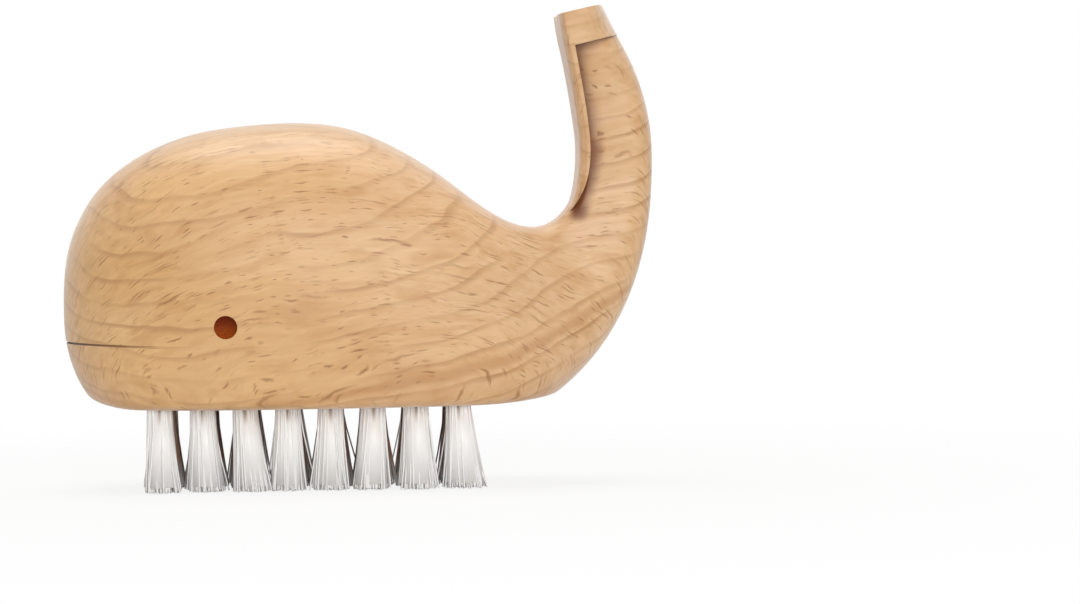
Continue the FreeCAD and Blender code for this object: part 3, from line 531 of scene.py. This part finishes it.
def tuft(row, column):
    """One tuft of bristle, spreading from its hole to the trimmed tips. Those at the tail end spread most."""
    name = tuft_name(row, column)
    centre = tuft_centre(row, column)
    dice = random.Random(100 * row + column)
    lean_x = dice.gauss(0, TUFT_LEAN)
    lean_y = dice.gauss(0, TUFT_LEAN)
    spread = TIP_SPREAD
    if column == COLUMNS - 1:
        lean_x = END_LEAN + lean_x / 2
        spread = END_SPREAD

    # A bevel of resolution n has 4 + 2 n sides
    curve = bpy.data.curves.new(name + "_bristle", "CURVE")
    curve.dimensions = "3D"
    curve.bevel_depth = BRISTLE_RADIUS
    curve.bevel_resolution = (BRISTLE_SIDES - 4) // 2
    curve.use_fill_caps = True
    for root_x, root_y, plain_x in bristle_roots(dice):
        jitter = STRAY_JITTER if dice.random() < STRAY_SHARE else TIP_JITTER
        tip_x = plain_x * spread + lean_x + dice.gauss(0, jitter)
        tip_y = root_y * spread + lean_y + dice.gauss(0, jitter)
        tip_z = BRISTLE_RADIUS / 2 + abs(dice.gauss(0, TRIM))
        bow = dice.uniform(BOW_LEAST, BOW_MOST)
        spline = curve.splines.new("POLY")
        spline.points.add(len(STATIONS))
        spline.points[0].co = (centre.x + root_x, centre.y + root_y, BELLY + ROOT_INSIDE, 1)
        for point, at in zip(spline.points[1:], STATIONS):
            swing = at ** bow
            x = centre.x + root_x + (tip_x - root_x) * swing
            y = centre.y + root_y + (tip_y - root_y) * swing
            point.co = (x, y, BELLY + (tip_z - BELLY) * at, 1)

    piece = bpy.data.objects.new(name + "_bristles", curve)
    bpy.context.scene.collection.objects.link(piece)
    deselect_all()
    piece.select_set(True)
    bpy.context.view_layer.objects.active = piece
    bpy.ops.object.convert(target="MESH")
    piece = bpy.context.object
    tuft_core(centre, lean_x, lean_y, spread)
    piece.select_set(True)
    bpy.context.view_layer.objects.active = piece
    bpy.ops.object.join()
    bpy.ops.object.shade_smooth()
    dress(piece, nylon)
    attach(piece, "root")
    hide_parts(name)


for row in range(ROWS):
    for column in range(COLUMNS):
        tuft(row, column)


# Stage: white floor, white surround, soft light from above and in front

FLOOR_WIDTH = 6.0
SHADOW_NEAR = 70 * MM
SHADOW_FAR = 200 * MM
FLOOR_GLOW_NEAR = 0.86
SURROUND_LIGHT = 0.35


def white_floor():
    """White sweep: keeps a faint shadow by the brush and turns wholly white a hand's length away from it."""
    material, tree = new_material("white_sweep")
    place = add(tree, "ShaderNodeTexCoord").outputs["Object"]
    away = add(tree, "ShaderNodeVectorMath", {0: place}, operation="LENGTH").outputs["Value"]
    share = add(tree, "ShaderNodeMapRange", {
        VALUE: away, FROM_LOW: SHADOW_NEAR, FROM_HIGH: SHADOW_FAR, TO_LOW: FLOOR_GLOW_NEAR}).outputs[0]
    seen = add(tree, "ShaderNodeLightPath").outputs["Is Camera Ray"]
    share = add(tree, "ShaderNodeMath", {0: seen, 1: share}, operation="MULTIPLY").outputs[0]
    paper = add(tree, "ShaderNodeBsdfDiffuse", {"Color": srgb("#efeeec")}).outputs[0]
    white = add(tree, "ShaderNodeEmission", {"Color": srgb("#ffffff"), "Strength": 1.0}).outputs[0]
    mixed = add(tree, "ShaderNodeMixShader", {0: share, 1: paper, 2: white}).outputs[0]
    add(tree, "ShaderNodeOutputMaterial", {0: mixed})
    return material


def white_surround():
    """World that is white where it is seen, reflected or seen through glass, and lights the brush less."""
    world = bpy.data.worlds.new("white_surround")
    world.use_nodes = True
    tree = world.node_tree
    tree.nodes.clear()
    path = add(tree, "ShaderNodeLightPath").outputs
    shown = add(tree, "ShaderNodeMath", {
        0: path["Is Camera Ray"], 1: path["Is Glossy Ray"]}, operation="MAXIMUM").outputs[0]
    shown = add(tree, "ShaderNodeMath", {
        0: shown, 1: path["Is Transmission Ray"]}, operation="MAXIMUM").outputs[0]
    level = add(tree, "ShaderNodeMapRange", {VALUE: shown, TO_LOW: SURROUND_LIGHT, TO_HIGH: 1.0}).outputs[0]
    surround = add(tree, "ShaderNodeBackground", {"Color": srgb("#ffffff"), "Strength": level}).outputs[0]
    add(tree, "ShaderNodeOutputWorld", {0: surround})
    return world


def softbox(name, place, target, width, power):
    """Square area light aimed at a point, in metres and watts."""
    lamp = bpy.data.lights.new(name, "AREA")
    lamp.shape = "SQUARE"
    lamp.size = width
    lamp.energy = power
    lamp_object = bpy.data.objects.new(name, lamp)
    lamp_object.location = place
    lamp_object.rotation_euler = (Vector(target) - Vector(place)).to_track_quat("-Z", "Y").to_euler()
    bpy.context.scene.collection.objects.link(lamp_object)


deselect_all()
bpy.ops.mesh.primitive_plane_add(size=FLOOR_WIDTH, location=(0, 0, 0))
floor = bpy.context.object
floor.name = "floor"
dress(floor, white_floor())
bpy.context.scene.world = white_surround()
softbox("top_softbox", place=(-0.03, 0.08, 0.72), target=(0, 0, 0.04), width=0.45, power=3.0)
softbox("front_fill", place=(0.20, -0.85, 0.22), target=(0, 0, 0.03), width=0.6, power=4.25)


# Camera: level with the back of the whale, in front of its left side, aimed at the middle of the picture,
# and turned a little because the brush leans on its uneven bristle

PICTURE_WIDTH = 1080
MM_PER_PIXEL = 0.187
SENSOR_WIDTH = 36
CAMERA_PLACE = Vector((-2.85, -750.0, 58.85)) * MM
AIM = Vector((33.65, 0.0, 33.6)) * MM
ROLL = math.radians(-0.8)

look = AIM - CAMERA_PLACE
camera = bpy.data.cameras.new("camera")
camera.sensor_width = SENSOR_WIDTH
camera.lens = SENSOR_WIDTH * look.length / (PICTURE_WIDTH * MM_PER_PIXEL * MM)
camera_object = bpy.data.objects.new("camera", camera)
camera_object.location = CAMERA_PLACE
camera_object.rotation_euler = (look.to_track_quat("-Z", "Y") @ Quaternion((0, 0, 1), ROLL)).to_euler()
bpy.context.scene.collection.objects.link(camera_object)
bpy.context.scene.camera = camera_object
bpy.context.scene.view_settings.view_transform = "Standard"
